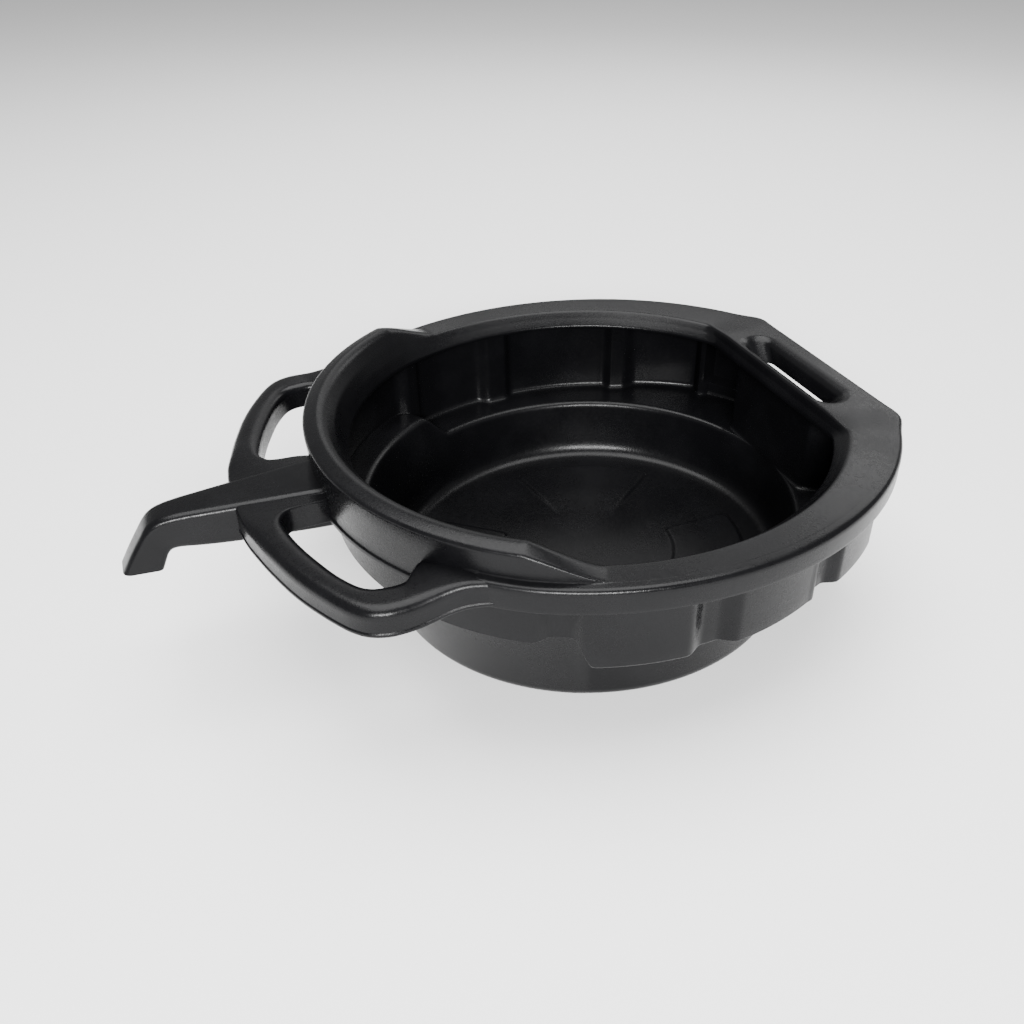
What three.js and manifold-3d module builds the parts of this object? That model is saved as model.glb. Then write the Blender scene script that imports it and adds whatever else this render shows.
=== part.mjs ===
// Oil drain pan: a wide, shallow plastic basin with a hand slot at the rear,
// a raised splash guard, two loop handles and a long pouring spout at the front.
// Millimetres, +Z up. The origin is the centre of the base on the floor.
// +X points to the rear hand slot, the spout points to -X.
import * as THREE from 'three';
import { mergeVertices } from 'three/addons/utils/BufferGeometryUtils.js';
import Module from 'manifold-3d';

const wasm = await Module();
wasm.setup();

// ---- driving dimensions -------------------------------------------------
const GAP = 0.3;
const WALL = 3;

// plan ovals: x = centre + stretch * R * cos(t), y = R * sin(t)
const RIM_STRETCH = 1.0868;
const NOSE_FROM_X = -130;
const NOSE_SHRINK = 0.08;
const RIM_R = 230;
const RIM_REAR_X = 225;
const GRIP_REAR_X = 225;
const OPENING_STRETCH = 1.042;
const OPENING_CENTRE = -6;
const LIP_R = 191;
const LIP_REAR_X = 167;
const DECK_R = 202;
const SUMP_STRETCH = 1.0436;
const SUMP_CENTRE = -3.2;

// heights
const FLOOR_THICK = 17;
const LOW_LEDGE = 69;
const HIGH_LEDGE = 90;
const SKIRT_BOTTOM = 138;
const LIP_Z = 145;
const DECK_Z = 157;
const GRIP_Z = 159;
const CREST_Z = 180;
const GUARD_EDGE_Z = 176;
const GUARD_BOTTOM = 131;

// the ledge steps up at a slanted riser across the pan
const RISER_FOOT_X = -91;
const RISER_TOP_X = -101;
const RISER_SPLIT_X = -96;
const RISER_PLAY = 1.6;

// angles round the rim, degrees from +X
const GRIP_HALF_WIDTH = 103;
const RAMP_START = 110;
const RAMP_END = 124;
const FLANGE_END = 131;
const GUARD_START_X = -80;

// sump
const SUMP_BASE_R = 165.5;
const SUMP_TOP_R = 172;
const FOOT_FILLET = 16;
const PAD_INNER = 73;
const PAD_OUTER = 136;
const PAD_HEIGHT = 2.6;
// centre and spread of each pad, degrees
const PADS = [
  [-22, 44],
  [69, 56],
  [159, 40],
  [249, 44],
];

// fluted wall
const WALL_R = 207;
const REAR_WALL_X = 176;
const NOTCH_IN = 20;
const NOTCH_OUT = 24.5;
const FLUTE_DEPTH = 8;
// centre, mouth and floor width of each flute, degrees
const FLUTES = [
  [60.5, 8.6, 3.6],
  [92.8, 10.5, 5],
  [119.8, 8, 3.2],
];
const CORNER_R = 215;
// wall radius from the rear corner round to the spout
const WALL_TABLE = [
  [24.5, CORNER_R],
  [35.8, CORNER_R],
  [37, 210],
  [38.4, 210],
  [41, 221],
  [66, WALL_R],
  [142, WALL_R],
  [166, 203.5],
  [180, 203.5],
];

// rear hand slot
const SLOT_X = 191;
const SLOT_HALF_WIDTH = 13;
const SLOT_HALF_LENGTH = 67;
const BAR_BOTTOM = 141.5;

// spout
const SPOUT_TOP = 150;
const SPOUT_BOTTOM = 118;
const SPOUT_TIP_X = -375;
const SPOUT_TIP_Z = 104.5;
const SPOUT_ROOT_X = -214.4;
const SPOUT_WALL = 3;

// handles
const HANDLE_TOP = 151.5;
const HANDLE_BOTTOM = 130.5;
const HANDLE_ROUND = 6;

const PLASTIC = new THREE.MeshStandardMaterial({
  color: 0x17181b,
  roughness: 0.55,
  metalness: 0,
});

// ---- plan helpers -------------------------------------------------------
const rad = (degrees) => (degrees * Math.PI) / 180;

// the spout end is rounder than the stretched oval
function pinch(x) {
  return x < NOSE_FROM_X ? x - (x - NOSE_FROM_X) * NOSE_SHRINK : x;
}

function unpinch(x) {
  return x < NOSE_FROM_X ? NOSE_FROM_X + (x - NOSE_FROM_X) / (1 - NOSE_SHRINK) : x;
}

function rimPoint(r, t, z, rear = RIM_REAR_X) {
  const x = RIM_STRETCH * r * Math.cos(rad(t));
  return [pinch(Math.min(x, rear - (RIM_R - r))), r * Math.sin(rad(t)), z];
}

function openingPoint(r, t, z) {
  const chord = LIP_REAR_X + ((r - LIP_R) * 4) / 11;
  const x = OPENING_CENTRE + OPENING_STRETCH * r * Math.cos(rad(t));
  return [pinch(Math.min(x, chord)), r * Math.sin(rad(t)), z];
}

function sumpPoint(r, t, z) {
  const x = SUMP_CENTRE + SUMP_STRETCH * r * Math.cos(rad(t));
  return [x, r * Math.sin(rad(t)), z];
}

function fold(t) {
  const turn = ((t % 360) + 360) % 360;
  return turn > 180 ? 360 - turn : turn;
}

function ramp(value, start, end) {
  return Math.min(1, Math.max(0, (value - start) / (end - start)));
}

function wallRadius(t) {
  const a = fold(t);
  const chord = REAR_WALL_X / (RIM_STRETCH * Math.cos(rad(Math.min(a, NOTCH_IN))));
  if (a < NOTCH_OUT) {
    return chord + (CORNER_R - chord) * ramp(a, NOTCH_IN, NOTCH_OUT);
  }
  let radius = WALL_R;
  for (let i = 1; i < WALL_TABLE.length; i += 1) {
    const [start, from] = WALL_TABLE[i - 1];
    const [end, to] = WALL_TABLE[i];
    if (a >= start && a <= end) {
      radius = from + (to - from) * ramp(a, start, end);
    }
  }
  for (const [centre, mouth, floor] of FLUTES) {
    radius -= FLUTE_DEPTH * (1 - ramp(Math.abs(a - centre), floor / 2, mouth / 2));
  }
  return radius;
}

function wallPoint(inset, t, z) {
  const r = wallRadius(t) - inset;
  return [pinch(RIM_STRETCH * r * Math.cos(rad(t))), r * Math.sin(rad(t)), z];
}

// the walls keep RISER_PLAY clear of the slanted riser
function ledgeHeight([x], play = 0) {
  const slope = ramp(-x - play, -RISER_FOOT_X, -RISER_TOP_X);
  return LOW_LEDGE + (HIGH_LEDGE - LOW_LEDGE) * slope;
}

function guardRise(t) {
  const s = ramp(fold(t), RAMP_START, RAMP_END);
  return s * s * (3 - 2 * s);
}

// height of the deck and guard underside above a point of the wall
function undersideHeight([x, y], t) {
  const r = Math.hypot((unpinch(x) - OPENING_CENTRE) / OPENING_STRETCH, y);
  const rise = fold(t) < RAMP_START + 3 ? 0 : guardRise(t);
  const lift = (z) => DECK_Z + (z - DECK_Z) * rise;
  const mid = rise > 0 ? [197.8, lift(160) - 4 - 3 * (1 - rise)] : [197.8, 149];
  const top = rise > 0 ? [202.5, lift(167) - 4 - 3 * (1 - rise)] : [202.5, 153];
  if (r < mid[0]) {
    return LIP_Z - 2.5 + ((mid[1] - LIP_Z + 2.5) * (r - LIP_R)) / (mid[0] - LIP_R);
  }
  return Math.min(top[1], mid[1] + ((top[1] - mid[1]) * (r - mid[0])) / (top[0] - mid[0]));
}

// angles from start to end, with extra stops at every wall crease
function stops(start, end, step = 5) {
  const marks = [
    NOTCH_IN, NOTCH_IN + 1.5, NOTCH_IN + 3, NOTCH_OUT, 28, 29.2, 30,
    35.8, 37, 38.4, 41, 66, RAMP_START, RAMP_START + 3, RAMP_END, 142, 166,
    111.5, 112.2, 112.9, 113.6, 114.2, 115.4, 116.1, 116.6, 117.8, 118.6, 119.5, 120,
  ];
  for (const [centre, mouth, floor] of FLUTES) {
    for (const side of [-1, 1]) {
      marks.push(centre + (side * mouth) / 2, centre + (side * floor) / 2);
    }
  }
  const list = [start, end];
  for (const mark of marks) {
    for (const t of [mark, -mark, 360 - mark]) {
      list.push(t);
    }
  }
  const count = Math.round((end - start) / step);
  for (let i = 1; i < count; i += 1) {
    const t = start + ((end - start) * i) / count;
    if (list.every((other) => Math.abs(other - t) > 1.2)) {
      list.push(t);
    }
  }
  const inside = list.filter((t) => t >= start - 1e-6 && t <= end + 1e-6);
  inside.sort((a, b) => a - b);
  return inside.filter((t, i) => i === 0 || t - inside[i - 1] > 0.05);
}

// ---- solid helpers ------------------------------------------------------
function solidFrom(positions, triangles) {
  let geometry = new THREE.BufferGeometry();
  geometry.setAttribute('position', new THREE.Float32BufferAttribute(positions, 3));
  geometry.setIndex(triangles);
  geometry = mergeVertices(geometry, 1e-4);
  const index = geometry.index.array;
  const kept = [];
  for (let i = 0; i < index.length; i += 3) {
    const [a, b, c] = [index[i], index[i + 1], index[i + 2]];
    if (a !== b && b !== c && a !== c) {
      kept.push(a, b, c);
    }
  }
  geometry.setIndex(kept);
  const p = geometry.attributes.position;
  const [va, vb, vc] = [new THREE.Vector3(), new THREE.Vector3(), new THREE.Vector3()];
  let volume = 0;
  for (let i = 0; i < kept.length; i += 3) {
    va.fromBufferAttribute(p, kept[i]);
    vb.fromBufferAttribute(p, kept[i + 1]);
    vc.fromBufferAttribute(p, kept[i + 2]);
    volume += va.dot(vb.cross(vc)) / 6;
  }
  if (volume < 0) {
    for (let i = 0; i < kept.length; i += 3) {
      [kept[i + 1], kept[i + 2]] = [kept[i + 2], kept[i + 1]];
    }
    geometry.setIndex(kept);
  }
  return geometry;
}

// sweep a closed section round the pan; section(t) returns [x, y, z] points
function sweep(angles, section, full = false) {
  const positions = [];
  const triangles = [];
  const rings = full ? angles.slice(0, -1) : angles;
  const size = section(rings[0]).length;
  for (const t of rings) {
    positions.push(...section(t).flat());
  }
  const spans = full ? rings.length : rings.length - 1;
  for (let i = 0; i < spans; i += 1) {
    const next = (i + 1) % rings.length;
    for (let j = 0; j < size; j += 1) {
      const k = (j + 1) % size;
      const [a, b, c, d] = [i * size + j, i * size + k, next * size + k, next * size + j];
      triangles.push(a, b, c, a, c, d);
    }
  }
  if (!full) {
    for (const last of [false, true]) {
      const ring = last ? rings.length - 1 : 0;
      const flat = section(rings[ring]).map(([x, y, z]) => new THREE.Vector2(Math.hypot(x, y), z));
      const way = Math.sign(THREE.ShapeUtils.area(flat)) * (last ? 1 : -1);
      for (const [a, b, c] of THREE.ShapeUtils.triangulateShape(flat, [])) {
        const turn = Math.sign(THREE.ShapeUtils.area([flat[a], flat[b], flat[c]]));
        const face = turn === way ? [a, b, c] : [a, c, b];
        triangles.push(...face.map((v) => v + ring * size));
      }
    }
  }
  return solidFrom(positions, triangles);
}

function toManifold(geometry) {
  const plain = geometry.clone();
  plain.deleteAttribute('normal');
  plain.deleteAttribute('uv');
  const welded = mergeVertices(plain, 1e-4);
  return new wasm.Manifold(new wasm.Mesh({
    numProp: 3,
    vertProperties: new Float32Array(welded.attributes.position.array),
    triVerts: new Uint32Array(welded.index.array),
  }));
}

function fromManifold(manifold) {
  const mesh = manifold.getMesh();
  return solidFrom(Array.from(mesh.vertProperties), Array.from(mesh.triVerts));
}

// a plan outline pushed straight up between two heights, with rounded edges
function slab(outline, bottom, top, round = 0) {
  const shape = new THREE.Shape(outline.map(([x, y]) => new THREE.Vector2(x, y)));
  const geometry = new THREE.ExtrudeGeometry(shape, {
    depth: top - bottom - 2 * round,
    bevelEnabled: round > 0,
    bevelThickness: round,
    bevelSize: round,
    bevelOffset: -round,
    bevelSegments: 2,
    curveSegments: 1,
  });
  geometry.translate(0, 0, bottom + round);
  return toManifold(geometry);
}

function box(low, high) {
  const size = high.map((v, i) => v - low[i]);
  return wasm.Manifold.cube(size).translate(low);
}

// ---- sub-parts ----------------------------------------------------------
function sumpRadius(z) {
  return SUMP_BASE_R + ((SUMP_TOP_R - SUMP_BASE_R) * z) / LOW_LEDGE;
}

function sumpFloor() {
  const section = (t) => [
    [SUMP_CENTRE, 0, 0],
    sumpPoint(SUMP_BASE_R - 7, t, 0),
    sumpPoint(SUMP_BASE_R - 2.5, t, 1.4),
    sumpPoint(SUMP_BASE_R - 0.4, t, 4.5),
    sumpPoint(sumpRadius(FLOOR_THICK), t, FLOOR_THICK),
    [SUMP_CENTRE, 0, FLOOR_THICK],
  ];
  return sweep(stops(-180, 180, 6), section, true);
}

function floorPad([centre, spread]) {
  const bottom = FLOOR_THICK + GAP;
  const top = FLOOR_THICK + PAD_HEIGHT;
  const half = spread / 2;
  const angles = [];
  for (let i = 0; i <= 8; i += 1) {
    angles.push(centre - half + (spread * i) / 8);
  }
  const section = (t) => {
    const corner = Math.abs(t - centre) > half - 1 ? 4 : 0;
    return [
      sumpPoint(PAD_INNER + corner, t, bottom),
      sumpPoint(PAD_OUTER - corner, t, bottom),
      sumpPoint(PAD_OUTER - corner - 1.5, t, top),
      sumpPoint(PAD_INNER + corner + 1.5, t, top),
    ];
  };
  return sweep(angles, section);
}

function sumpWall() {
  const foot = FLOOR_THICK + GAP;
  const bend = foot + 0.6 + FOOT_FILLET;
  const inner = sumpRadius(bend) - WALL;
  const section = (t) => {
    const edge = sumpPoint(SUMP_TOP_R, t, 0);
    const back = sumpPoint(SUMP_TOP_R - WALL, t, 0);
    const points = [
      sumpPoint(sumpRadius(foot), t, foot),
      sumpPoint(SUMP_TOP_R, t, ledgeHeight(edge, RISER_PLAY)),
      sumpPoint(SUMP_TOP_R - WALL, t, ledgeHeight(back, RISER_PLAY)),
    ];
    for (let i = 0; i <= 4; i += 1) {
      const a = rad((90 * i) / 4);
      const r = inner - FOOT_FILLET * (1 - Math.cos(a));
      points.push(sumpPoint(r, t, foot + 0.6 + FOOT_FILLET * (1 - Math.sin(a))));
    }
    points.push(sumpPoint(inner - FOOT_FILLET, t, foot));
    return points;
  };
  return sweep(stops(-180, 180), section, true);
}

// one sheet that follows the ledge and its slanted risers all the way round
function ledgeSheet() {
  const raised = (point, lift) => [point[0], point[1], ledgeHeight(point) + GAP + lift];
  const halfway = (a, b) => a.map((v, i) => (v + b[i]) / 2);
  const section = (t) => {
    const inner = sumpPoint(SUMP_TOP_R - WALL, t, 0);
    const brow = sumpPoint(SUMP_TOP_R - WALL + 1, t, 0);
    const outer = wallPoint(1.5, t, 0);
    let shoulder = sumpPoint(SUMP_TOP_R, t, 0);
    if (Math.hypot(...shoulder) > Math.hypot(...outer) - 0.5) {
      shoulder = halfway(inner, outer);
    }
    let back = wallPoint(WALL, t, 0);
    if (Math.hypot(...back) < Math.hypot(...brow) + 0.5) {
      back = halfway(brow, wallPoint(0, t, 0));
    }
    return [
      raised(inner, 0),
      raised(shoulder, 0),
      raised(outer, 0),
      raised(wallPoint(0, t, 0), 1.5),
      raised(wallPoint(0, t, 0), WALL),
      raised(back, WALL),
      raised(brow, WALL),
      raised(inner, WALL - 1),
    ];
  };
  return toManifold(sweep(stops(-180, 180), section, true));
}

function lowLedge() {
  const side = box([RISER_SPLIT_X + GAP / 2, -300, 0], [300, 300, 200]);
  return fromManifold(ledgeSheet().intersect(side));
}

function highLedge() {
  const side = box([-300, -300, 0], [RISER_SPLIT_X - GAP / 2, 300, 200]);
  return fromManifold(ledgeSheet().intersect(side));
}

function upperWall() {
  const section = (t) => {
    const low = (inset) => ledgeHeight(wallPoint(inset, t, 0), -RISER_PLAY) + GAP + WALL + GAP;
    const clear = undersideHeight(wallPoint(WALL, t, 0), t) - 0.8;
    const [outerX, outerY] = wallPoint(0, t, 0);
    let high = Math.abs(outerY) < GRIP_HALF_WIDTH + 3 ? DECK_Z - WALL - GAP - 1 : clear;
    high = outerX < 0 ? clear : high;
    if (high !== clear && outerX > RIM_REAR_X - 30) {
      high = BAR_BOTTOM - 1.2;
    }
    return [
      wallPoint(0, t, low(0)),
      wallPoint(0, t, high),
      wallPoint(WALL, t, high),
      wallPoint(WALL, t, low(WALL)),
    ];
  };
  const wall = toManifold(sweep(stops(-180, 180), section, true));
  const duct = box([-240, -20, SPOUT_BOTTOM + WALL], [-200, 20, SPOUT_TOP - WALL]);
  return fromManifold(wall.subtract(duct));
}

// full cross-section of the rim: skirt, rounded edge, deck and bevel to the lip
function rimSection(t) {
  return [
    rimPoint(RIM_R - WALL, t, SKIRT_BOTTOM),
    rimPoint(RIM_R, t, SKIRT_BOTTOM),
    rimPoint(RIM_R, t, DECK_Z - 5),
    rimPoint(RIM_R - 1.6, t, DECK_Z - 1.6),
    rimPoint(RIM_R - 5, t, DECK_Z),
    openingPoint(DECK_R, t, DECK_Z),
    openingPoint(LIP_R, t, LIP_Z + 1),
    openingPoint(LIP_R, t, LIP_Z - 2.5),
    openingPoint(DECK_R, t, DECK_Z - WALL - 1),
    openingPoint(DECK_R + 2, t, DECK_Z - WALL),
    rimPoint(RIM_R - 6, t, DECK_Z - WALL),
    rimPoint(RIM_R - WALL, t, DECK_Z - 6),
  ];
}

// outer strip of the rim that runs on below the splash guard
function rimTailSection(t) {
  return [
    rimPoint(RIM_R - WALL, t, SKIRT_BOTTOM),
    rimPoint(RIM_R, t, SKIRT_BOTTOM),
    rimPoint(RIM_R, t, DECK_Z - 5),
    rimPoint(RIM_R - 1.6, t, DECK_Z - 1.6),
    rimPoint(RIM_R - 5, t, DECK_Z),
    rimPoint(RIM_R - 8.6, t, DECK_Z),
    rimPoint(RIM_R - 8.6, t, DECK_Z - WALL),
    rimPoint(RIM_R - 6, t, DECK_Z - WALL),
    rimPoint(RIM_R - WALL, t, DECK_Z - 6),
  ];
}

function sideRim(side) {
  const arc = (start, end, section) => {
    const [a, b] = side > 0 ? [start, end] : [-end, -start];
    return toManifold(sweep(stops(a, b), section));
  };
  const open = box([GUARD_START_X + GAP / 2, -300, 100], [300, 300, 200]);
  const full = arc(22, RAMP_START + 8, rimSection).intersect(open);
  const tail = arc(RAMP_START - 8, FLANGE_END, rimTailSection);
  const edges = [side * (GRIP_HALF_WIDTH + GAP / 2), side * 300].sort((a, b) => a - b);
  const beside = box([-300, edges[0], 100], [300, edges[1], 200]);
  return fromManifold(full.add(tail).intersect(beside));
}

function rearGrip() {
  const edge = (inset, t, z) => rimPoint(RIM_R - inset, t, z, GRIP_REAR_X);
  const section = (t) => [
    edge(1.5, t, BAR_BOTTOM),
    edge(0, t, BAR_BOTTOM + 2),
    edge(0, t, GRIP_Z - 4),
    edge(3, t, GRIP_Z),
    openingPoint(DECK_R, t, GRIP_Z),
    openingPoint(LIP_R, t, LIP_Z + 1),
    openingPoint(LIP_R, t, LIP_Z - 2.5),
    openingPoint(DECK_R, t, DECK_Z - WALL - 1),
    openingPoint(DECK_R + 15, t, DECK_Z - WALL),
    edge(19, t, DECK_Z - WALL),
    edge(18, t, BAR_BOTTOM),
  ];
  const reach = GRIP_HALF_WIDTH - GAP / 2;
  let body = toManifold(sweep(stops(-34, 34, 3), section));
  body = body.intersect(box([0, -reach, 100], [300, reach, 200]));
  const outline = [];
  const straight = SLOT_HALF_LENGTH - SLOT_HALF_WIDTH;
  for (let i = 0; i <= 16; i += 1) {
    const a = (Math.PI * i) / 8;
    const y = i < 8 || i === 16 ? straight : -straight;
    outline.push([
      SLOT_X + SLOT_HALF_WIDTH * Math.cos(a),
      y + SLOT_HALF_WIDTH * Math.sin(a),
    ]);
  }
  body = body.subtract(slab(outline.slice(0, 16), 100, 200));
  return fromManifold(body);
}

// hollow crescent: outer wall, rounded top edge, crest and concave inner slope
function splashGuard() {
  const lift = (z, rise) => DECK_Z + (z - DECK_Z) * rise;
  const section = (t) => {
    const rise = 0.04 + 0.96 * guardRise(t);
    const drop = ramp(fold(t), FLANGE_END + 0.4, FLANGE_END + 1.2);
    const foot = DECK_Z - WALL - (DECK_Z - WALL - GUARD_BOTTOM) * drop;
    return [
      rimPoint(218 - 1.5 * drop, t, foot),
      rimPoint(221 - 1.5 * drop, t, foot),
      rimPoint(221 - 4 * drop, t, foot + 1 + 10 * drop),
      rimPoint(221, t, foot + 2 + 25 * drop),
      rimPoint(221, t, lift(GUARD_EDGE_Z - 5, rise)),
      rimPoint(219, t, lift(GUARD_EDGE_Z, rise)),
      rimPoint(212, t, lift(GUARD_EDGE_Z + 2.5, rise)),
      rimPoint(206, t, lift(CREST_Z, rise)),
      openingPoint(199.5, t, lift(168, rise)),
      openingPoint(195, t, lift(160, rise) - 3 * (1 - rise)),
      openingPoint(LIP_R, t, LIP_Z + 1),
      openingPoint(LIP_R, t, LIP_Z - 2.5),
      openingPoint(197.8, t, lift(160, rise) - 4),
      openingPoint(202.5, t, lift(167, rise) - 3),
      rimPoint(207, t, lift(CREST_Z - 4.5, rise) - 3 * (1 - rise)),
      rimPoint(212, t, lift(GUARD_EDGE_Z - 1, rise) - 3 * (1 - rise)),
      rimPoint(218, t, lift(GUARD_EDGE_Z - 4, rise) - 3 * (1 - rise)),
      rimPoint(218, t, foot + 0.5 + 26.5 * drop),
      rimPoint(218 - 4 * drop, t, foot + 0.25 + 10.75 * drop),
    ];
  };
  const angles = stops(RAMP_START - 6, 366 - RAMP_START, 5);
  for (const t of [FLANGE_END + 0.4, FLANGE_END + 1.2]) {
    angles.push(t, 360 - t);
  }
  angles.sort((a, b) => a - b);
  const front = box([-300, -300, 0], [GUARD_START_X - GAP / 2, 300, 300]);
  const shell = toManifold(sweep(angles, section)).intersect(front);
  const window = box([-250, -26.6, SPOUT_BOTTOM - GAP], [-217.4, 26.6, SPOUT_TOP + GAP]);
  return fromManifold(shell.subtract(window));
}

// tapering plan of the spout, from the basin wall out past the tip
function spoutPlan(inset) {
  const edge = [
    [SPOUT_ROOT_X + 9, 25.5], [-240, 25], [-292, 19.5], [-345, 13.5], [-390, 13],
  ].map(([x, y]) => [x, y - inset]);
  const mirrored = edge.map(([x, y]) => [x, -y]).reverse();
  return [...edge, ...mirrored];
}

function handle(side) {
  const outer = [
    [-291, 10], [-289, 33], [-283.3, 63.5], [-270.8, 104], [-257, 134.5],
    [-242.5, 158.5], [-235.5, 166.5], [-227.5, 171.5], [-217, 174], [-180, 174],
  ];
  outer.push([
    pinch(RIM_STRETCH * RIM_R * Math.cos(rad(FLANGE_END + 0.2))),
    RIM_R * Math.sin(rad(FLANGE_END + 0.2)),
  ]);
  const hole = [
    [-226, 31], [-240, 29.5], [-253, 31], [-259.5, 35.5], [-261.5, 43], [-259.8, 60],
    [-254.5, 83], [-244.5, 109], [-236.5, 126.5], [-230, 137], [-225, 142],
    [-217, 145], [-204, 146], [-198, 144], [-192, 135], [-184, 122],
  ];
  for (let t = 136; t <= 174; t += 5) {
    outer.push(rimPoint(212, t, 0).slice(0, 2));
  }
  outer.push([-228, 10]);
  const bar = slab(outer, HANDLE_BOTTOM, HANDLE_TOP, HANDLE_ROUND);
  const gap = slab(hole, 90, 180);
  const keepOut = toManifold(sweep(stops(-180, 180, 5), (t) => [
    [0, 0, 90],
    rimPoint(219.85, t, 90),
    rimPoint(219.85, t, GUARD_BOTTOM),
    rimPoint(217.35, t, GUARD_BOTTOM + 11),
    rimPoint(221.35, t, GUARD_BOTTOM + 27),
    rimPoint(221.35, t, GUARD_EDGE_Z - 5),
    [0, 0, 200],
  ], true));
  let solid = bar.subtract(gap).subtract(keepOut);
  solid = solid.subtract(slab(spoutPlan(-GAP), 60, 200));
  if (side < 0) {
    solid = solid.mirror([0, 1, 0]);
  }
  return fromManifold(solid);
}

// long hollow beak, open at the basin end and under the tip of the nose
function pourSpout() {
  const side = (inset) => [
    [SPOUT_ROOT_X + inset, SPOUT_BOTTOM + inset],
    [SPOUT_ROOT_X + inset, SPOUT_TOP - inset],
    [-341, SPOUT_TOP - inset],
    [-352 + inset * 0.4, SPOUT_TOP - 6 - inset * 0.8],
    [SPOUT_TIP_X + inset * 1.1, SPOUT_TIP_Z + 7 - inset * 3],
    [SPOUT_TIP_X + 4 + inset * 1.1, SPOUT_TIP_Z - inset * 3],
    [-350 - inset, SPOUT_TIP_Z - inset * 3],
    [-337 - inset, SPOUT_BOTTOM + 1 + inset],
  ];
  const solid = (inset, reach) => {
    const outline = side(inset).map(([x, z]) => [x + (x > -230 ? reach : 0), z]);
    const tall = slab(outline, -40, 40).rotate([90, 0, 0]);
    return tall.intersect(slab(spoutPlan(inset), 90, 160));
  };
  return fromManifold(solid(0, 0).subtract(solid(SPOUT_WALL, 6)));
}

// ---- assembly -----------------------------------------------------------
const group = new THREE.Group();
group.name = 'oil_drain_pan';

function add(name, geometry) {
  geometry.computeVertexNormals();
  const mesh = new THREE.Mesh(geometry, PLASTIC);
  mesh.name = name;
  group.add(mesh);
}

add('sump_floor', sumpFloor());
PADS.forEach((pad, i) => add(`floor_pad_${i + 1}`, floorPad(pad)));
add('sump_wall', sumpWall());
add('low_ledge', lowLedge());
add('high_ledge', highLedge());
add('upper_wall', upperWall());
add('near_rim', sideRim(-1));
add('far_rim', sideRim(1));
add('rear_grip', rearGrip());
add('splash_guard', splashGuard());
add('near_handle', handle(-1));
add('far_handle', handle(1));
add('pour_spout', pourSpout());

export default group;
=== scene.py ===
"""Looks for the oil drain pan: one black moulded plastic shell, in metres.

Lengths in the shape functions are millimetres; MM turns them into metres when a mesh is made.
"""

import math

import bmesh
import bpy
import numpy as np
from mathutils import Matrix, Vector


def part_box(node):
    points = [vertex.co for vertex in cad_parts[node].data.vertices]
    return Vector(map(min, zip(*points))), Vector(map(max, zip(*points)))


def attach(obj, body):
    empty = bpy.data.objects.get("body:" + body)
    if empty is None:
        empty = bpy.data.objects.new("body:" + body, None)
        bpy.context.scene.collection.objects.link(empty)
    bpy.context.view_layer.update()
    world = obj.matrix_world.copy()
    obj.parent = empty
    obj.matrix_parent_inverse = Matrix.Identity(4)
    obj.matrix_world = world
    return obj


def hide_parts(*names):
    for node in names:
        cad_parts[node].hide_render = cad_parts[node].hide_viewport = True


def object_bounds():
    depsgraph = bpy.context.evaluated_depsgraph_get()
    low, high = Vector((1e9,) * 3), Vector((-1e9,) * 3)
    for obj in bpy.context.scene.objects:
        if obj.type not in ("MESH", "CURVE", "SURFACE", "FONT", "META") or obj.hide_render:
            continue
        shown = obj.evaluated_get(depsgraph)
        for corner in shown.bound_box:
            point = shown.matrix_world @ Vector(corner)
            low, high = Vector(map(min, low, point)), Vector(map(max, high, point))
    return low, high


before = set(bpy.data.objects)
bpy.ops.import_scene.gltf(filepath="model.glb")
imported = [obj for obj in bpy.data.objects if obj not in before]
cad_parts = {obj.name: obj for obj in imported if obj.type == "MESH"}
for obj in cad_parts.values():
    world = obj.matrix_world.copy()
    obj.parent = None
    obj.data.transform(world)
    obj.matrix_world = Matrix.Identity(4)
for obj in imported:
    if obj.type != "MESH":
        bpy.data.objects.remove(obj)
cad_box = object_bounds()

MM = 0.001
# space between neighbouring CAD nodes
GAP = 0.3
# steps round each oval
TURNS = 600


def corners_mm(box):
    """Lowest and highest corner of a box of the frame, in millimetres."""
    return [[round(value / MM, 1) for value in corner] for corner in box]


# ---- sizes read from the frame ----------------------------------------------------
RIM_R = corners_mm(cad_box)[1][1]
(_, _, SKIRT_BOTTOM), (_, _, DECK_Z) = corners_mm(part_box("near_rim"))
(_, _, BAR_BOTTOM), (RIM_REAR_X, _, GRIP_Z) = corners_mm(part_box("rear_grip"))
(_, _, GUARD_BOTTOM), (_, _, CREST_Z) = corners_mm(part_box("splash_guard"))
(_, _, HANDLE_BOTTOM), (_, _, HANDLE_TOP) = corners_mm(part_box("near_handle"))
FLOOR_Z = corners_mm(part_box("sump_floor"))[1][2]
SUMP_TOP_R, HIGH_LEDGE = corners_mm(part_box("sump_wall"))[1][1:]
LOW_LEDGE = round(corners_mm(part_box("low_ledge"))[0][2] - GAP, 1)

# ---- plan ovals -------------------------------------------------------------------
RIM_STRETCH = 1.0868
NOSE_FROM_X = -130
NOSE_SHRINK = 0.08
OPENING_STRETCH = 1.042
OPENING_CENTRE = -6
LIP_R = 191
LIP_REAR_X = 167
# the rim swells a little at its two rear corners: angle, spread in degrees, and reach
EAR_AT, EAR_SPREAD, EAR_REACH = 27.5, 3, 2.6
SUMP_STRETCH = 1.0436
SUMP_CENTRE = -3.2

# ---- heights and steps ------------------------------------------------------------
LIP_Z = 145
LIP_THICK = 2.5
BEVEL_R = 197.5
GUARD_EDGE_Z = CREST_Z - 4
HIGH_SETBACK = 10
WALL = 3
# angles over which the ledge rises on each side, and the guard above it
RISER_NEAR = (112.4, 116)
RISER_FAR = (115.8, 122.8)
GUARD_FROM, GUARD_TO = 110.5, 124
# x and half width of the spout's way through the wall and the guard
DUCT_WINDOW = ((-236, 17), (-201, 19))
GUARD_WINDOW = ((-250, 20), (-219, 20))
DUCT_CORNER = 3

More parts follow.
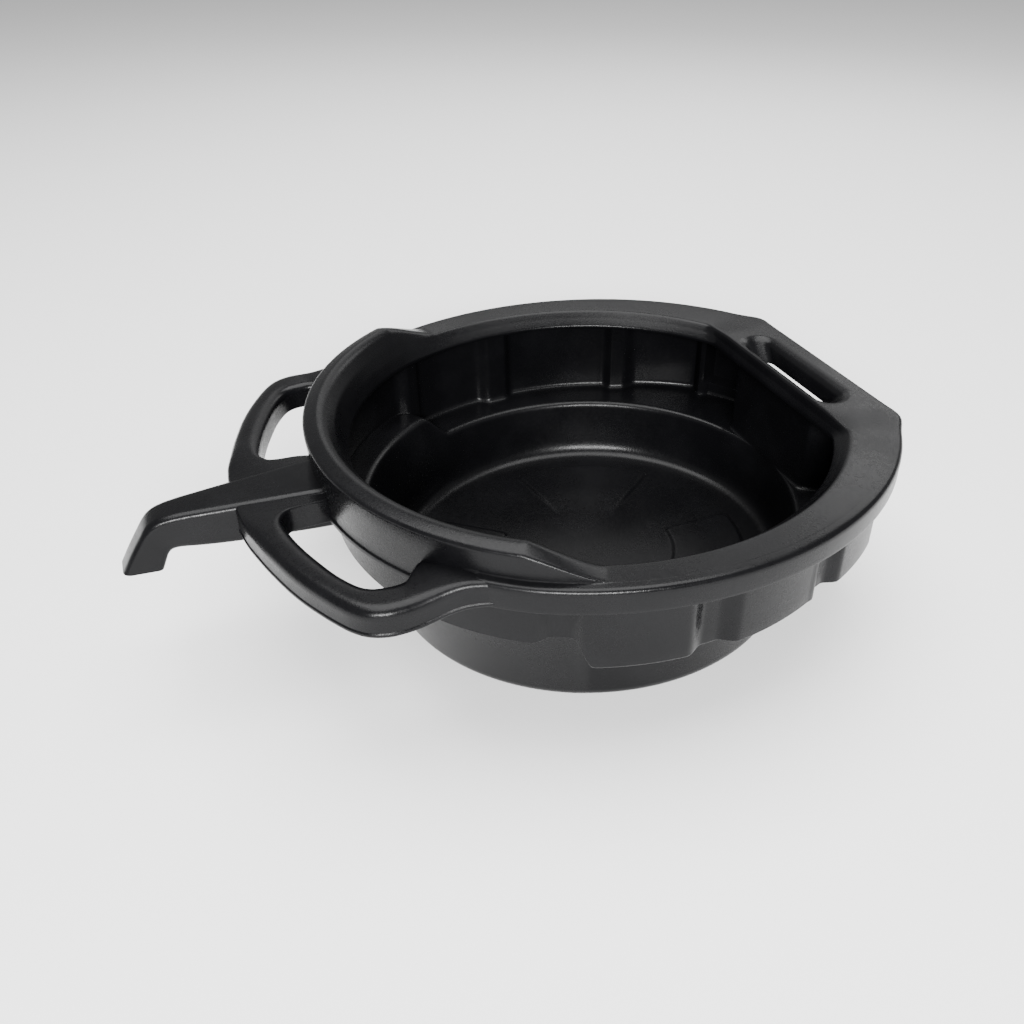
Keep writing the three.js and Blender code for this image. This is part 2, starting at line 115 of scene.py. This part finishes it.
# ---- the fluted wall --------------------------------------------------------------
WALL_R = 207
CORNER_R = 215
REAR_WALL_X = 176
# centre, mouth and floor width of each flute, degrees
FLUTES = (
    (60.5, 8.6, 3.2),
    (94.4, 10, 4.4),
    (120.6, 8, 2.8),
    (241.4, 10, 2.8),
    (270.2, 10.8, 3),
    (299.5, 8.6, 3.2),
)
FLUTE_DEPTH = 8
POCKET_DEPTH = 9
# angle and radius of the wall from the rear corner round to the spout
WALL_TABLE = (
    (24.8, CORNER_R),
    (35.8, CORNER_R),
    (37.2, 210),
    (38.4, 210),
    (41, 221),
    (66, WALL_R),
    (142, WALL_R),
    (166, 206),
    (180, 206),
)
# the wall narrows evenly between these two angles, and eases between all others
TAPER_FROM, TAPER_TO = 41, 66

# ---- floor pads -------------------------------------------------------------------
# centre and spread in degrees, inner radius, and how gently the inner edge rises (1 is crisp)
PADS = (
    (-22, 44, 73, 1),
    (69, 56, 62, 12),
    (159, 40, 73, 1),
    (249, 44, 73, 1),
)
PAD_OUTER = 136
PAD_HEIGHT = 2.2
PAD_CORNER = 6


# ---- small maths --------------------------------------------------------------
def smooth(value, start, end):
    """Ease from 0 at start to 1 at end."""
    s = np.clip((np.asarray(value, float) - start) / (end - start), 0, 1)
    return s * s * (3 - 2 * s)


def mix(a, b, s):
    """Blend a into b as s goes from 0 to 1."""
    return a + (b - a) * s


def soft_min(a, b, width):
    """The lower of a and b, rounded off where they cross."""
    h = np.clip(0.5 + 0.5 * (b - a) / width, 0, 1)
    return b + (a - b) * h - width * h * (1 - h)


def fold(t):
    """Angle from the rear, the same on both sides, 0 to 180 degrees."""
    turn = np.mod(t, 360)
    return np.where(turn > 180, 360 - turn, turn)


def place(x, y, z):
    """Points from coordinates that may be arrays or single numbers."""
    x, y, z = np.broadcast_arrays(x, y, z)
    return np.stack([x, y, z], axis=-1).astype(float)


def pinch(x):
    """Make the spout end rounder than the stretched oval."""
    return x - NOSE_SHRINK * np.minimum(x - NOSE_FROM_X, 0)


def rim(r, t, z):
    """A point on the rim's oval, which is cut straight at the rear with a slight ear at each corner."""
    a = np.radians(t)
    x = pinch(soft_min(RIM_STRETCH * r * np.cos(a), RIM_REAR_X - (RIM_R - r), 4))
    ear = EAR_REACH * np.exp(-(((fold(t) - EAR_AT) / EAR_SPREAD) ** 2)) * smooth(r, 219, 228)
    return place(x + ear, r * np.sin(a), z)


def opening(r, t, z):
    """A point on the oval of the basin's mouth, which has a straight rear side."""
    a = np.radians(t)
    chord = LIP_REAR_X + (r - LIP_R) * 4 / 11
    x = soft_min(OPENING_CENTRE + OPENING_STRETCH * r * np.cos(a), chord, 3)
    return place(pinch(x), r * np.sin(a), z)


def sump(r, t, z):
    """A point on the oval of the lower basin."""
    a = np.radians(t)
    return place(SUMP_CENTRE + SUMP_STRETCH * r * np.cos(a), r * np.sin(a), z)


def wall_radius(t):
    """Outer radius of the fluted wall, with a straight stretch at the rear."""
    a = fold(t)
    chord = REAR_WALL_X / (RIM_STRETCH * np.cos(np.radians(np.minimum(a, 20))))
    r = mix(chord, CORNER_R, smooth(a, 19.5, 25))
    for (start, before), (end, after) in zip(WALL_TABLE, WALL_TABLE[1:]):
        even = start == TAPER_FROM and end == TAPER_TO
        share = (a - start) / (end - start) if even else smooth(a, start, end)
        r = np.where((a >= start) & (a <= end), mix(before, after, share), r)
    for centre, mouth, floor in FLUTES:
        away = np.abs(np.mod(t - centre + 180, 360) - 180)
        r = r - FLUTE_DEPTH * (1 - smooth(away, floor / 2, mouth / 2))
    return r


def wall(inset, t, z):
    """A point on the fluted wall, moved inwards by inset."""
    a = np.radians(t)
    r = wall_radius(t) - inset
    return place(pinch(RIM_STRETCH * r * np.cos(a)), r * np.sin(a), z)


def riser(points):
    """0 on the low ledge, 1 on the high ledge, with a slanted step between."""
    around = np.degrees(np.arctan2(np.abs(points[..., 1]), points[..., 0] / RIM_STRETCH))
    far = points[..., 1] > 0
    foot, top = (np.where(far, *pair) for pair in zip(RISER_FAR, RISER_NEAR))
    return smooth(around, foot, top)


def pocket(t):
    """The rear corners swell above a small shelf."""
    a = fold(t)
    return POCKET_DEPTH * smooth(a, 27, 29.5) * (1 - smooth(a, 36.2, 37.4))


def on_ledge(points, lift=0.0):
    """Drop points onto the ledge."""
    out = points.copy()
    out[..., 2] = mix(LOW_LEDGE, HIGH_LEDGE, riser(points)) + lift
    return out


def sump_edge(r, t):
    """Upper edge of the sump, set back along the high ledge."""
    return sump(r + HIGH_SETBACK * riser(sump(r, t, 0)), t, 0)


def guard_rise(t):
    """0 on the flat rim, 1 along the crest, with a nearly straight ramp between."""
    s = np.clip((fold(t) - GUARD_FROM) / (GUARD_TO - GUARD_FROM), 0, 1)
    return mix(s, smooth(s, 0, 1), 0.25)


# ---- mesh makers ----------------------------------------------------------------
def soften(ring, cuts, steps, closed=True):
    """Round the corners of sections: ring is (sections, corners, 3), cuts are lengths along each side."""
    count = ring.shape[1]
    out = []
    for i in range(count):
        p = ring[:, i]
        if not closed and i in (0, count - 1):
            out.append(p)
            continue
        a = ring[:, i - 1] - p
        b = ring[:, (i + 1) % count] - p
        la = np.linalg.norm(a, axis=1, keepdims=True) + 1e-9
        lb = np.linalg.norm(b, axis=1, keepdims=True) + 1e-9
        start = p + a / la * np.minimum(cuts[i], 0.48 * la)
        end = p + b / lb * np.minimum(cuts[i], 0.48 * lb)
        for k in range(steps[i] + 1):
            s = k / max(steps[i], 1)
            out.append((1 - s) ** 2 * start + 2 * s * (1 - s) * p + s * s * end)
    return np.stack(out, axis=1)


def mesh_object(name, points, faces):
    """Make a Blender mesh from points in millimetres."""
    mesh = bpy.data.meshes.new(name)
    mesh.from_pydata((np.asarray(points) * MM).tolist(), [], faces)
    mesh.validate()
    mesh.update()
    obj = bpy.data.objects.new(name, mesh)
    bpy.context.collection.objects.link(obj)
    mesh.shade_smooth()
    return obj


def grid_faces(rows, columns, row_loop, column_loop):
    """Quads between the rows and columns of a grid of points."""
    faces = []
    for i in range(rows if row_loop else rows - 1):
        n = (i + 1) % rows
        for j in range(columns if column_loop else columns - 1):
            k = (j + 1) % columns
            faces.append((i * columns + j, i * columns + k, n * columns + k, n * columns + j))
    return faces


def outward(obj):
    """Weld the mesh and turn every face outwards."""
    mesh = bmesh.new()
    mesh.from_mesh(obj.data)
    bmesh.ops.remove_doubles(mesh, verts=mesh.verts, dist=1e-6)
    bmesh.ops.recalc_face_normals(mesh, faces=mesh.faces)
    mesh.to_mesh(obj.data)
    mesh.free()
    obj.data.shade_smooth()


def cut(obj, cutter, angle=32):
    """Take one closed mesh away from another, and keep crisp edges crisp."""
    modifier = obj.modifiers.new("cut", "BOOLEAN")
    modifier.operation = "DIFFERENCE"
    modifier.solver = "EXACT"
    modifier.object = cutter
    graph = bpy.context.evaluated_depsgraph_get()
    result = bpy.data.meshes.new_from_object(obj.evaluated_get(graph))
    obj.modifiers.clear()
    obj.data = result
    bpy.data.objects.remove(cutter)
    obj.data.shade_smooth()
    obj.data.set_sharp_from_angle(angle=math.radians(angle))


def loft(name, sections):
    """Join a row of closed sections into one solid with flat ends."""
    rows, columns = sections.shape[:2]
    faces = grid_faces(rows, columns, False, True)
    faces.append(tuple(range(columns - 1, -1, -1)))
    faces.append(tuple(range((rows - 1) * columns, rows * columns)))
    obj = mesh_object(name, sections.reshape(-1, 3), faces)
    outward(obj)
    return obj


def spline(points, samples):
    """Smooth curve through every point, evenly stepped between them."""
    p = np.asarray(points, float)
    p = np.vstack([2 * p[0] - p[1], p, 2 * p[-1] - p[-2]])
    out = []
    for s in np.linspace(0, len(points) - 1, samples):
        i = min(int(s), len(points) - 2)
        u = s - i
        a, b, c, d = p[i : i + 4]
        out.append(
            0.5
            * (
                2 * b
                + (c - a) * u
                + (2 * a - 5 * b + 4 * c - d) * u * u
                + (3 * b - a - 3 * c + d) * u**3
            )
        )
    return np.array(out)


def prism(name, half_widths, low, high, corner):
    """Rounded channel along X: half_widths is ((x, half width), ...)."""
    rows = []
    for x, half in half_widths:
        rows.append([
            (x, -half, low),
            (x, half, low),
            (x, half, high),
            (x, -half, high),
        ])
    ring = soften(np.array(rows, float), (corner,) * 4, (5,) * 4)
    return loft(name, ring)


# ---- the basin --------------------------------------------------------------------
def pad_height(r, t):
    """Height of the floor pads above the floor at radius r, with rounded corners."""
    height = np.zeros_like(t, dtype=float)
    for centre, spread, inner, ramp in PADS:
        away = np.abs(np.mod(t - centre + 180, 360) - 180)
        side = (spread / 2 - away) * math.pi / 180 * r
        inward = min((r - inner) / ramp, PAD_OUTER - r)
        edge = np.minimum(side, inward)
        corner = np.hypot(np.minimum(side - PAD_CORNER, 0), min(inward - PAD_CORNER, 0))
        in_corner = (side < PAD_CORNER) & (inward < PAD_CORNER)
        edge = np.where(in_corner, PAD_CORNER - corner, edge)
        height = np.maximum(height, PAD_HEIGHT * smooth(edge, -0.6, 3))
    return height


def underside(t):
    """Height of the wall's upper edge, which runs 1 mm into the rim above it."""
    p = wall(WALL, t, 0)
    r = np.hypot((p[:, 0] - OPENING_CENTRE) / OPENING_STRETCH, p[:, 1])
    rise = guard_rise(t)
    low = mix(149, 154, rise)
    high = mix(153.5, 163, rise)
    bevel = mix(LIP_Z - LIP_THICK, low, np.interp(r, (LIP_R, BEVEL_R), (0, 1)))
    flat = mix(low, high, np.clip((r - BEVEL_R) / 5.5, 0, 1))
    height = np.where(r > BEVEL_R, flat, bevel)
    return np.where(fold(t) < 27, 154.5, height + 1)


def basin_shell():
    """Floor, sump, ledges and fluted wall, as one closed shell from the floor's middle to the base's."""
    t = np.arange(TURNS) * 360 / TURNS
    top = underside(t)
    swell = pocket(t)
    shelf = on_ledge(wall(0, t, 0))[..., 2]
    # the rings are closest where the pads rise
    floor_r = np.concatenate([
        np.linspace(6, 70, 12),
        np.linspace(72, 77, 6),
        np.linspace(80, 130, 14),
        np.linspace(132, 137.5, 7),
    ])
    inner = [sump(r, t, FLOOR_Z + pad_height(r, t)) for r in floor_r]
    rounded = soften(
        np.stack([
            # up the inside: floor, fillet, sump, ledge, wall and pocket
            sump(PAD_OUTER + 2.5, t, FLOOR_Z),
            sump(164.2, t, FLOOR_Z),
            on_ledge(sump_edge(169.2, t), WALL),
            on_ledge(wall(WALL, t, 0), WALL),
            wall(WALL, t, np.maximum(85, shelf + WALL + 2)),
            wall(WALL - swell, t, np.maximum(90, shelf + WALL + 5)),
            wall(WALL - swell, t, top),
            # down the outside
            wall(-swell, t, top),
            wall(-swell, t, np.maximum(87, shelf + 5)),
            wall(0, t, np.maximum(82, shelf + 2)),
            on_ledge(wall(0, t, 0)),
            on_ledge(sump_edge(SUMP_TOP_R, t)),
            sump(166, t, 0),
            sump(150, t, 0),
        ], axis=1),
        (0, 20, 6, 6.5, 1, 1, 0.2, 0.2, 1, 1, 2, 1.5, 9, 0),
        (0, 14, 7, 6, 2, 2, 1, 1, 2, 2, 4, 2, 8, 0),
        closed=False,
    )
    rows = inner + [rounded[:, i] for i in range(rounded.shape[1])]
    rows += [sump(r, t, 0) for r in (110, 60)]
    points = np.stack(rows, axis=0)
    count = points.shape[0]
    faces = grid_faces(count, TURNS, False, True)
    flat = points.reshape(-1, 3)
    first = len(flat)
    flat = np.vstack([flat, [[SUMP_CENTRE, 0, FLOOR_Z], [SUMP_CENTRE, 0, 0]]])
    last = (count - 1) * TURNS
    for j in range(TURNS):
        k = (j + 1) % TURNS
        faces.append((first, k, j))
        faces.append((first + 1, last + j, last + k))
    obj = mesh_object("basin_shell", flat, faces)
    outward(obj)
    cut(obj, prism("duct_window", DUCT_WINDOW, 121.5, 146.5, DUCT_CORNER))
    return obj


# ---- the rim, its bevel and the splash guard -----------------------------------------
GUARD_R = 221
CREST_R = 206
SKIRT_SETBACK = 9.5
# how far the rear bar reaches inwards under the deck
GRIP_BLOCK = 47
SLOT_X = 190.5
SLOT_HALF_WIDTH = 10.6
SLOT_SIDES = 48
# height, growth and end centre of the slot, from its narrow foot to its rounded upper edge
SLOT_EDGE = (
    (128, -1.8, 38), (141, -1.8, 38), (148, -0.8, 44.5), (153, 0.2, 49.5), (155.2, 1.1, 51),
    (156.8, 2.4, 51.5), (157.9, 4, 52), (158.6, 6, 52), (162, 14, 52),
)


def slot_outline(z, grow, end):
    """One level of the hand slot: two half circles, end mm either side of the middle."""
    half = SLOT_HALF_WIDTH + grow
    outline = []
    for i in range(SLOT_SIDES):
        angle = 2 * math.pi * (i + 0.5) / SLOT_SIDES
        y = end if math.sin(angle) > 0 else -end
        outline.append((SLOT_X + half * math.cos(angle), y + half * math.sin(angle), z))
    return outline


def rim_ring():
    """Skirt, deck, splash guard and bevelled lip as one closed ring, with the hand slot at its rear."""
    t = np.arange(TURNS) * 360 / TURNS
    a = fold(t)
    # 1 along the guard's crest, behind the handles, and at the rear grip
    rise = np.maximum(guard_rise(t), 0.004)
    drop = smooth(a, 131, 137)
    rear = 1 - smooth(a, 23, 29)
    block = GRIP_BLOCK * rear
    deck = DECK_Z + (GRIP_Z - DECK_Z) * (1 - smooth(a, 22, 34))
    bottom = SKIRT_BOTTOM + (BAR_BOTTOM - SKIRT_BOTTOM) * rear - (SKIRT_BOTTOM - GUARD_BOTTOM) * drop

    def lift(z):
        return deck + (z - DECK_Z) * rise

    corners = np.stack([
        # the skirt's foot and its outer face
        rim(RIM_R - 3 - block - 10.5 * drop, t, bottom),
        rim(RIM_R - SKIRT_SETBACK * drop, t, bottom),
        rim(RIM_R - 9.7 * drop, t, bottom + 3.6),
        rim(RIM_R - 11.4 * drop, t, mix(deck, 136.4, drop)),
        # the deck, or the outside and crest of the guard
        rim(GUARD_R - 1.2 * drop, t, mix(deck, 158, drop)),
        rim(GUARD_R, t, lift(GUARD_EDGE_Z)),
        rim(CREST_R, t, lift(CREST_Z)),
        opening(mix(202, 199, rise), t, mix(deck, 167, rise)),
        # the bevel down to the lip, and the lip's edge
        opening(mix(197, 194.6, rise), t, mix(151.6, 156, rise)),
        opening(LIP_R, t, LIP_Z + 0.6),
        opening(LIP_R + 0.3, t, LIP_Z - LIP_THICK),
        # the underside, back out to the skirt
        opening(BEVEL_R, t, mix(149, 154, rise)),
        opening(203, t, mix(153.5, 164.5, rise)),
        rim(208 - 30.5 * rear, t, mix(153.5, 175.5, rise)),
        rim(217.5 - 39.5 * rear, t, mix(153.5, 172, rise)),
        rim(218 - 39 * rear, t, mix(153.3, 157.5, drop)),
        rim(RIM_R - 3.4 - block - 12.6 * drop, t, mix(152.8, 142.4, drop)),
    ], axis=1)
    cuts = (0.8, 0.9, 0.8, 5.5, 1.6, 3.2, 7, 2.2, 1.2, 1.6, 1, 2, 3, 2, 1, 1, 2)
    steps = (2, 3, 2, 7, 3, 5, 7, 4, 3, 4, 2, 2, 3, 2, 1, 1, 2)
    ring = soften(corners, cuts, steps)
    rows, columns = ring.shape[:2]
    obj = mesh_object("rim_ring", ring.reshape(-1, 3), grid_faces(rows, columns, True, True))
    outward(obj)
    slot = [slot_outline(*level) for level in SLOT_EDGE]
    cut(obj, loft("slot_cutter", np.array(slot)), 30)
    cut(obj, prism("guard_window", GUARD_WINDOW, 121, 147, DUCT_CORNER), 30)
    return obj


# ---- handles ------------------------------------------------------------------------
HANDLE_STATIONS = (
    # outer x, y; inner x, y; bottom, top
    (-291, 4, -221, 4, 120, 149.4),
    (-291, 15, -221, 16, 124, 149.4),
    (-290.8, 22, -222.5, 30, 128, 149.5),
    (-290.4, 27, -232, 34.5, 130, 149.7),
    (-290, 30.5, -245, 35.3, HANDLE_BOTTOM, 149.9),
    (-289.5, 35, -254.5, 37, HANDLE_BOTTOM, 150.2),
    (-288.6, 41, -260, 43, HANDLE_BOTTOM, 150.6),
    (-286.8, 50, -261.2, 50, HANDLE_BOTTOM, 151),
    (-284, 61, -259.7, 60.5, HANDLE_BOTTOM, HANDLE_TOP),
    (-280.5, 74, -256.8, 73, HANDLE_BOTTOM, HANDLE_TOP),
    (-275.5, 90, -252, 88.5, HANDLE_BOTTOM, HANDLE_TOP),
    (-270, 106, -246, 104.5, HANDLE_BOTTOM, HANDLE_TOP),
    (-263.5, 121.5, -239.5, 120, HANDLE_BOTTOM, HANDLE_TOP),
    (-256.5, 135.5, -232.3, 133, HANDLE_BOTTOM, HANDLE_TOP),
    (-249, 149, -226, 141, HANDLE_BOTTOM, HANDLE_TOP),
    (-241, 161, -219.5, 144.8, HANDLE_BOTTOM, HANDLE_TOP),
    (-232, 169.5, -212, 146, HANDLE_BOTTOM, HANDLE_TOP),
    (-221, 174, -204.5, 146, HANDLE_BOTTOM, HANDLE_TOP),
    (-210, 174.8, -198.5, 143.5, HANDLE_BOTTOM, HANDLE_TOP),
    (-199, 174.2, -193.5, 136, 131, 152),
    (-190, 173.6, -186, 130, 132.5, 153),
    (-180, 173.2, -178, 134, 134.5, 154.4),
    (-170, 174.2, -169, 142, 136.5, 155.8),
    (-161, 177.2, -161, 150, 138, 156.7),
    (-152, 181, -152, 160, 139, 156.8),
    (-143, 186, -144, 170, 139.5, 156.5),
)


def handle(name, side):
    """One loop handle, from under the spout out to its flange on the rim; side is 1 or -1."""
    path = spline(HANDLE_STATIONS, 210)
    outer, inner = path[:, 0:2], path[:, 2:4]
    low, high = path[:, 4], path[:, 5]
    across = outer - inner
    width = np.linalg.norm(across, axis=1, keepdims=True)
    across = across / width

    def at(base, shift, z):
        p = base + across * shift
        return place(p[:, 0], p[:, 1] * side, z)

    corners = np.stack([
        at(inner, 0.5, low),
        at(outer, 0, low),
        at(outer, 0.2, low + 2.4),
        at(outer, -0.8, low + 3.2),
        at(outer, -0.6, high),
        at(inner, 0.6, high),
        at(inner, 0, low + 6),
    ], axis=1)
    away = smooth(outer[:, 1:2], 28, 75)
    merge = smooth(outer[:, 0:1], -205, -165)
    cuts = (1.5, 0.8, 0.6, 0.5, mix(mix(4.5, 11, away), 6, merge), mix(3.5, 10, away), 3)
    steps = (4, 3, 2, 2, 12, 9, 3)
    return loft(name, soften(corners, cuts, steps))


# ---- spout --------------------------------------------------------------------------
SPOUT_STATIONS = (
    # top x, z; bottom x, z; half width
    (-213.5, 152, -213.5, 118, 27),
    (-224, 151.8, -224, 118, 26.4),
    (-240, 151.6, -240, 118, 25),
    (-262, 151, -262, 118, 22.5),
    (-290, 150.4, -290, 118, 19.6),
    (-312, 149.8, -312, 119, 17),
    (-328, 149.2, -325, 120, 15.2),
    (-339.5, 147.8, -333, 120.6, 14.2),
    (-347.5, 145, -338, 119.6, 13.6),
    (-353.3, 140, -341, 116.8, 13.3),
    (-359.6, 131.2, -342.8, 113.4, 13.2),
    (-367.4, 119.6, -344.6, 109.4, 13),
    (-374.8, 107.4, -347, 104.4, 13),
)


def pour_spout():
    """Tapering beak with a turned-down nose, and the duct through it."""
    path = spline(SPOUT_STATIONS, 110)

    def shell(inset, rows):
        top, bottom, half = rows[:, 0:2], rows[:, 2:4], rows[:, 4]
        down = bottom - top
        down = down / np.linalg.norm(down, axis=1, keepdims=True)
        upper = top + down * inset
        lower = bottom - down * inset
        taper = half - inset
        return np.stack([
            place(lower[:, 0], -taper + 1.6, lower[:, 1]),
            place(lower[:, 0], taper - 1.6, lower[:, 1]),
            place(upper[:, 0], taper, upper[:, 1]),
            place(upper[:, 0], -taper, upper[:, 1]),
        ], axis=1)

    outside = soften(shell(0, path), (4.5, 4.5, 7, 7), (6, 6, 8, 8))
    obj = loft("pour_spout", outside)
    longer = np.vstack([
        path[:1] + (10, 0, 10, 0, 0),
        path,
        path[-1:] + (-9, -11, -2.5, -8, 0),
    ])
    inside = soften(shell(WALL, longer), (3, 3, 4, 4), (4, 4, 5, 5))
    cut(obj, loft("spout_channel", inside), 40)
    return obj


# ---- material ------------------------------------------------------------------------
BLACK = (0.0022, 0.0022, 0.0026)
ROUGH = 0.26
SHEEN = 0.15


def plastic(name):
    """Black plastic with a pebbled skin, faint haze and slightly uneven faces."""
    material = bpy.data.materials.new(name)
    material.use_nodes = True
    nodes = material.node_tree.nodes
    links = material.node_tree.links
    shader = nodes["Principled BSDF"]
    shader.inputs["Base Color"].default_value = (*BLACK, 1)
    shader.inputs["Specular IOR Level"].default_value = SHEEN
    where = nodes.new("ShaderNodeTexCoord")

    def noise(scale, detail, kind="ShaderNodeTexNoise"):
        node = nodes.new(kind)
        node.inputs["Scale"].default_value = scale
        if "Detail" in node.inputs:
            node.inputs["Detail"].default_value = detail
        links.new(where.outputs["Object"], node.inputs["Vector"])
        return node

    def span(source, low, high, from_low=0.35, from_high=0.65):
        node = nodes.new("ShaderNodeMapRange")
        node.inputs["From Min"].default_value = from_low
        node.inputs["From Max"].default_value = from_high
        node.inputs["To Min"].default_value = low
        node.inputs["To Max"].default_value = high
        links.new(source, node.inputs["Value"])
        return node

    haze = span(noise(9, 4).outputs["Fac"], ROUGH - 0.05, ROUGH + 0.07)
    rub = span(noise(320, 3).outputs["Fac"], -0.03, 0.03)
    add = nodes.new("ShaderNodeMath")
    add.operation = "ADD"
    links.new(haze.outputs["Result"], add.inputs[0])
    links.new(rub.outputs["Result"], add.inputs[1])
    links.new(add.outputs["Value"], shader.inputs["Roughness"])

    tint = nodes.new("ShaderNodeMix")
    tint.data_type = "RGBA"
    tint.inputs["A"].default_value = (*BLACK, 1)
    tint.inputs["B"].default_value = (*[c * 1.5 + 0.0008 for c in BLACK], 1)
    patch = span(noise(26, 6).outputs["Fac"], 0, 0.7, 0.45, 0.75)
    links.new(patch.outputs["Result"], tint.inputs["Factor"])
    links.new(tint.outputs["Result"], shader.inputs["Base Color"])

    def bump(source, strength, distance, below=None):
        node = nodes.new("ShaderNodeBump")
        node.inputs["Strength"].default_value = strength
        node.inputs["Distance"].default_value = distance
        links.new(source, node.inputs["Height"])
        if below:
            links.new(below.outputs["Normal"], node.inputs["Normal"])
        return node

    pebble = noise(900, 0, "ShaderNodeTexVoronoi")
    pebbled = bump(pebble.outputs["Distance"], 0.16, 0.0003)
    grained = bump(noise(1500, 2).outputs["Fac"], 0.12, 0.0002, pebbled)
    uneven = bump(noise(14, 2).outputs["Fac"], 0.25, 0.0006, grained)
    links.new(uneven.outputs["Normal"], shader.inputs["Normal"])
    return material


# ---- assembly ------------------------------------------------------------------------
black = plastic("black_polyethylene")
pieces = (
    (basin_shell(), (
        "sump_floor", "floor_pad_1", "floor_pad_2", "floor_pad_3", "floor_pad_4",
        "sump_wall", "low_ledge", "high_ledge", "upper_wall",
    )),
    (rim_ring(), ("near_rim", "far_rim", "rear_grip", "splash_guard")),
    (handle("near_handle_bar", -1), ("near_handle",)),
    (handle("far_handle_bar", 1), ("far_handle",)),
    (pour_spout(), ("pour_spout",)),
)
for piece, nodes in pieces:
    piece.data.materials.clear()
    piece.data.materials.append(black)
    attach(piece, "root")
    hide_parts(*nodes)


# ---- floor, light and camera ---------------------------------------------------------
CAMERA_AZIMUTH = -22.63
CAMERA_ELEVATION = 35.07
CAMERA_AIM = (-0.03114, 0.01135, 0.05322)
CAMERA_DISTANCE = 0.861
LENS_MM = 34.5867
SENSOR_MM = 36
CAMERA_SHIFT = (-0.041016, 0.003125)


def stage_floor():
    """A plain pale floor."""
    bpy.ops.mesh.primitive_plane_add(size=14, location=(0, 0, 0))
    floor = bpy.context.object
    floor.name = "floor"
    material = bpy.data.materials.new("pale_floor")
    material.use_nodes = True
    shader = material.node_tree.nodes["Principled BSDF"]
    shader.inputs["Base Color"].default_value = (0.92, 0.92, 0.92, 1)
    shader.inputs["Roughness"].default_value = 0.9
    floor.data.materials.append(material)


def lamp(name, place_m, aim_m, size, power):
    """A soft rectangular lamp, in metres and watts."""
    light = bpy.data.lights.new(name, "AREA")
    light.shape = "RECTANGLE"
    light.size, light.size_y = size
    light.energy = power
    obj = bpy.data.objects.new(name, light)
    bpy.context.collection.objects.link(obj)
    obj.location = place_m
    direction = Vector(aim_m) - Vector(place_m)
    obj.rotation_euler = direction.to_track_quat("-Z", "Y").to_euler()


def camera():
    """A camera at the front left, looking down into the pan."""
    azimuth, elevation = math.radians(CAMERA_AZIMUTH), math.radians(CAMERA_ELEVATION)
    back = Vector((
        math.sin(azimuth) * math.cos(elevation),
        -math.cos(azimuth) * math.cos(elevation),
        math.sin(elevation),
    ))
    data = bpy.data.cameras.new("camera")
    data.lens = LENS_MM
    data.sensor_width = SENSOR_MM
    data.shift_x, data.shift_y = CAMERA_SHIFT
    obj = bpy.data.objects.new("camera", data)
    bpy.context.collection.objects.link(obj)
    obj.location = Vector(CAMERA_AIM) + back * CAMERA_DISTANCE
    obj.rotation_euler = (-back).to_track_quat("-Z", "Y").to_euler()
    bpy.context.scene.camera = obj


def studio():
    """Even pale light from all round."""
    world = bpy.data.worlds.new("studio")
    world.use_nodes = True
    background = world.node_tree.nodes["Background"]
    background.inputs["Color"].default_value = (1, 1, 1, 1)
    background.inputs["Strength"].default_value = 0.45
    bpy.context.scene.world = world


stage_floor()
lamp("overhead", (0.0, 0.2, 2.2), (0, 0, 0.1), (2.0, 2.0), 110)
lamp("front", (-0.83, -2.0, 1.15), (0, 0, 0.05), (1.3, 0.3), 150)
lamp("right_back", (1.6, 1.0, 1.2), (0, 0, 0.1), (0.9, 0.6), 6)
lamp("back", (0.75, 1.75, 1.35), (0, 0, 0.1), (1.5, 0.9), 6)
camera()
studio()
